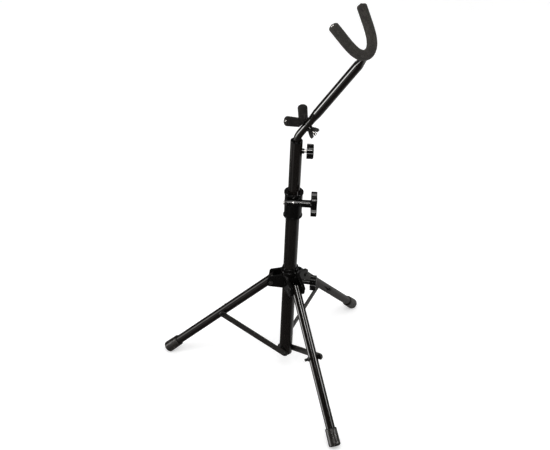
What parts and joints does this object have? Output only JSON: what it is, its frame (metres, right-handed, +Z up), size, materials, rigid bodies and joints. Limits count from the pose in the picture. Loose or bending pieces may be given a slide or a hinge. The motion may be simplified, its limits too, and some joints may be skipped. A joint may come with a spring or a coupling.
{
  "type": "saxophone stand",
  "caption": "Folding tripod saxophone stand with a telescopic column, a leaning arm and two foam-covered yokes held by hand-tightened knobs.",
  "frame": {"origin": "middle of the stand's footprint box, on the floor", "axes": "+Z up; the left leg points along -X; the column stands 69.3 mm to +X of the origin"},
  "size_m": [0.4456, 0.5103, 0.9029],
  "materials": {
    "gloss_black_tube": "gloss",
    "satin_black_bar": "satin",
    "black_plastic": "satin",
    "foot_rubber": "satin",
    "grey_foam": "matte",
    "black_fastener": "satin",
    "bright_steel": "polished"
  },
  "bodies": {
    "column": {"lower_tube": "gloss_black_tube", "end_plug": "black_plastic", "brace_foot_screws": "black_fastener", "clamp_collar": "black_plastic", "clamp_nut": "black_fastener", "clamp_washer": "black_fastener"},
    "hub": {"leg_hub": "black_plastic", "hub_bolts": "black_fastener", "hub_nuts": "black_fastener"},
    "hub_knob": {"hub_knob": "black_plastic", "hub_screw": "bright_steel"},
    "leg_left": {"leg_tube_left": "gloss_black_tube", "leg_plug_left": "black_plastic", "rubber_foot_left": "foot_rubber", "brace_bolt_left": "black_fastener", "brace_spacer_left": "black_plastic"},
    "brace_left": {"brace_left": "satin_black_bar", "brace_nut_left": "black_fastener"},
    "leg_front": {"leg_tube_front": "gloss_black_tube", "leg_plug_front": "black_plastic", "rubber_foot_front": "foot_rubber", "brace_bolt_front": "black_fastener", "brace_spacer_front": "black_plastic"},
    "brace_front": {"brace_front": "satin_black_bar", "brace_nut_front": "black_fastener"},
    "leg_back": {"leg_tube_back": "gloss_black_tube", "leg_plug_back": "black_plastic", "rubber_foot_back": "foot_rubber", "brace_bolt_back": "black_fastener", "brace_spacer_back": "black_plastic"},
    "brace_back": {"brace_back": "satin_black_bar", "brace_nut_back": "black_fastener"},
    "clamp_knob": {"clamp_knob": "black_plastic", "clamp_bolt": "bright_steel"},
    "mast": {"mast_tube": "gloss_black_tube", "mast_top_bush": "black_plastic", "mast_guide_bush": "black_plastic", "thumb_nut": "gloss_black_tube"},
    "thumb_knob": {"thumb_knob": "black_plastic", "thumb_screw": "bright_steel"},
    "arm": {"arm_tube": "gloss_black_tube", "upper_yoke_rod": "bright_steel", "upper_yoke_foam": "grey_foam", "yoke_washer": "black_plastic"},
    "lower_yoke": {"lower_yoke_rod": "bright_steel", "lower_yoke_foam": "grey_foam", "yoke_bolt": "bright_steel"},
    "wing_nut": {"wing_nut": "black_fastener"}
  },
  "joints": [
    {"name": "hub_slide", "type": "slide", "parent": "column", "child": "hub", "axis": [0, 0, 1], "range_m": [0, 0.1205]},
    {"name": "leg_fold_left", "type": "hinge", "parent": "hub", "child": "leg_left", "pos_m": [0.03044, 0, 0.2525], "axis": [0, -1, 0], "range_deg": [0, 45.05]},
    {"name": "leg_fold_front", "type": "hinge", "parent": "hub", "child": "leg_front", "pos_m": [0.08879, -0.03369, 0.2525], "axis": [0.866, 0.5, 0], "range_deg": [0, 45.05]},
    {"name": "leg_fold_back", "type": "hinge", "parent": "hub", "child": "leg_back", "pos_m": [0.08879, 0.03369, 0.2525], "axis": [-0.866, 0.5, 0], "range_deg": [0, 45.05]},
    {"name": "brace_fold_left", "type": "hinge", "parent": "column", "child": "brace_left", "pos_m": [0.06934, -0.017, 0.0465], "axis": [0, 1, 0], "range_deg": [0, 44.04]},
    {"name": "brace_fold_front", "type": "hinge", "parent": "column", "child": "brace_front", "pos_m": [0.08406, 0.0085, 0.0465], "axis": [-0.866, -0.5, 0], "range_deg": [0, 44.04]},
    {"name": "brace_fold_back", "type": "hinge", "parent": "column", "child": "brace_back", "pos_m": [0.05462, 0.0085, 0.0465], "axis": [0.866, -0.5, 0], "range_deg": [0, 44.04]},
    {"name": "hub_knob_turn", "type": "hinge", "parent": "hub", "child": "hub_knob", "pos_m": [0.11664, 0, 0.251], "axis": [1, 0, 0], "continuous": true},
    {"name": "clamp_knob_turn", "type": "hinge", "parent": "column", "child": "clamp_knob", "pos_m": [0.07149, -0.02189, 0.471], "axis": [0.9952, 0.0979, 0], "continuous": true},
    {"name": "mast_slide", "type": "slide", "parent": "column", "child": "mast", "axis": [0, 0, 1], "range_m": [-0.07, 0.16]},
    {"name": "thumb_knob_turn", "type": "hinge", "parent": "mast", "child": "thumb_knob", "pos_m": [0.09919, 0.00294, 0.5842], "axis": [0.9952, 0.0979, 0], "continuous": true},
    {"name": "arm_swivel", "type": "hinge", "parent": "mast", "child": "arm", "pos_m": [0.06934, 0, 0.58], "axis": [0, 0, 1], "continuous": true},
    {"name": "lower_yoke_swivel", "type": "hinge", "parent": "arm", "child": "lower_yoke", "pos_m": [0.08839, -0.00735, 0.64785], "axis": [-0.7869, 0.3035, 0.5373], "continuous": true},
    {"name": "wing_nut_turn", "type": "hinge", "parent": "lower_yoke", "child": "wing_nut", "pos_m": [0.0994, -0.0116, 0.64033], "axis": [-0.7869, 0.3035, 0.5373], "continuous": true}
  ],
  "couplings": [
    {"joint": "leg_fold_left", "follows": "hub_slide", "rad_per_m": 6.5178},
    {"joint": "leg_fold_front", "follows": "hub_slide", "rad_per_m": 6.5178},
    {"joint": "leg_fold_back", "follows": "hub_slide", "rad_per_m": 6.5178},
    {"joint": "brace_fold_left", "follows": "hub_slide", "rad_per_m": 6.3709},
    {"joint": "brace_fold_front", "follows": "hub_slide", "rad_per_m": 6.3709},
    {"joint": "brace_fold_back", "follows": "hub_slide", "rad_per_m": 6.3709}
  ]
}
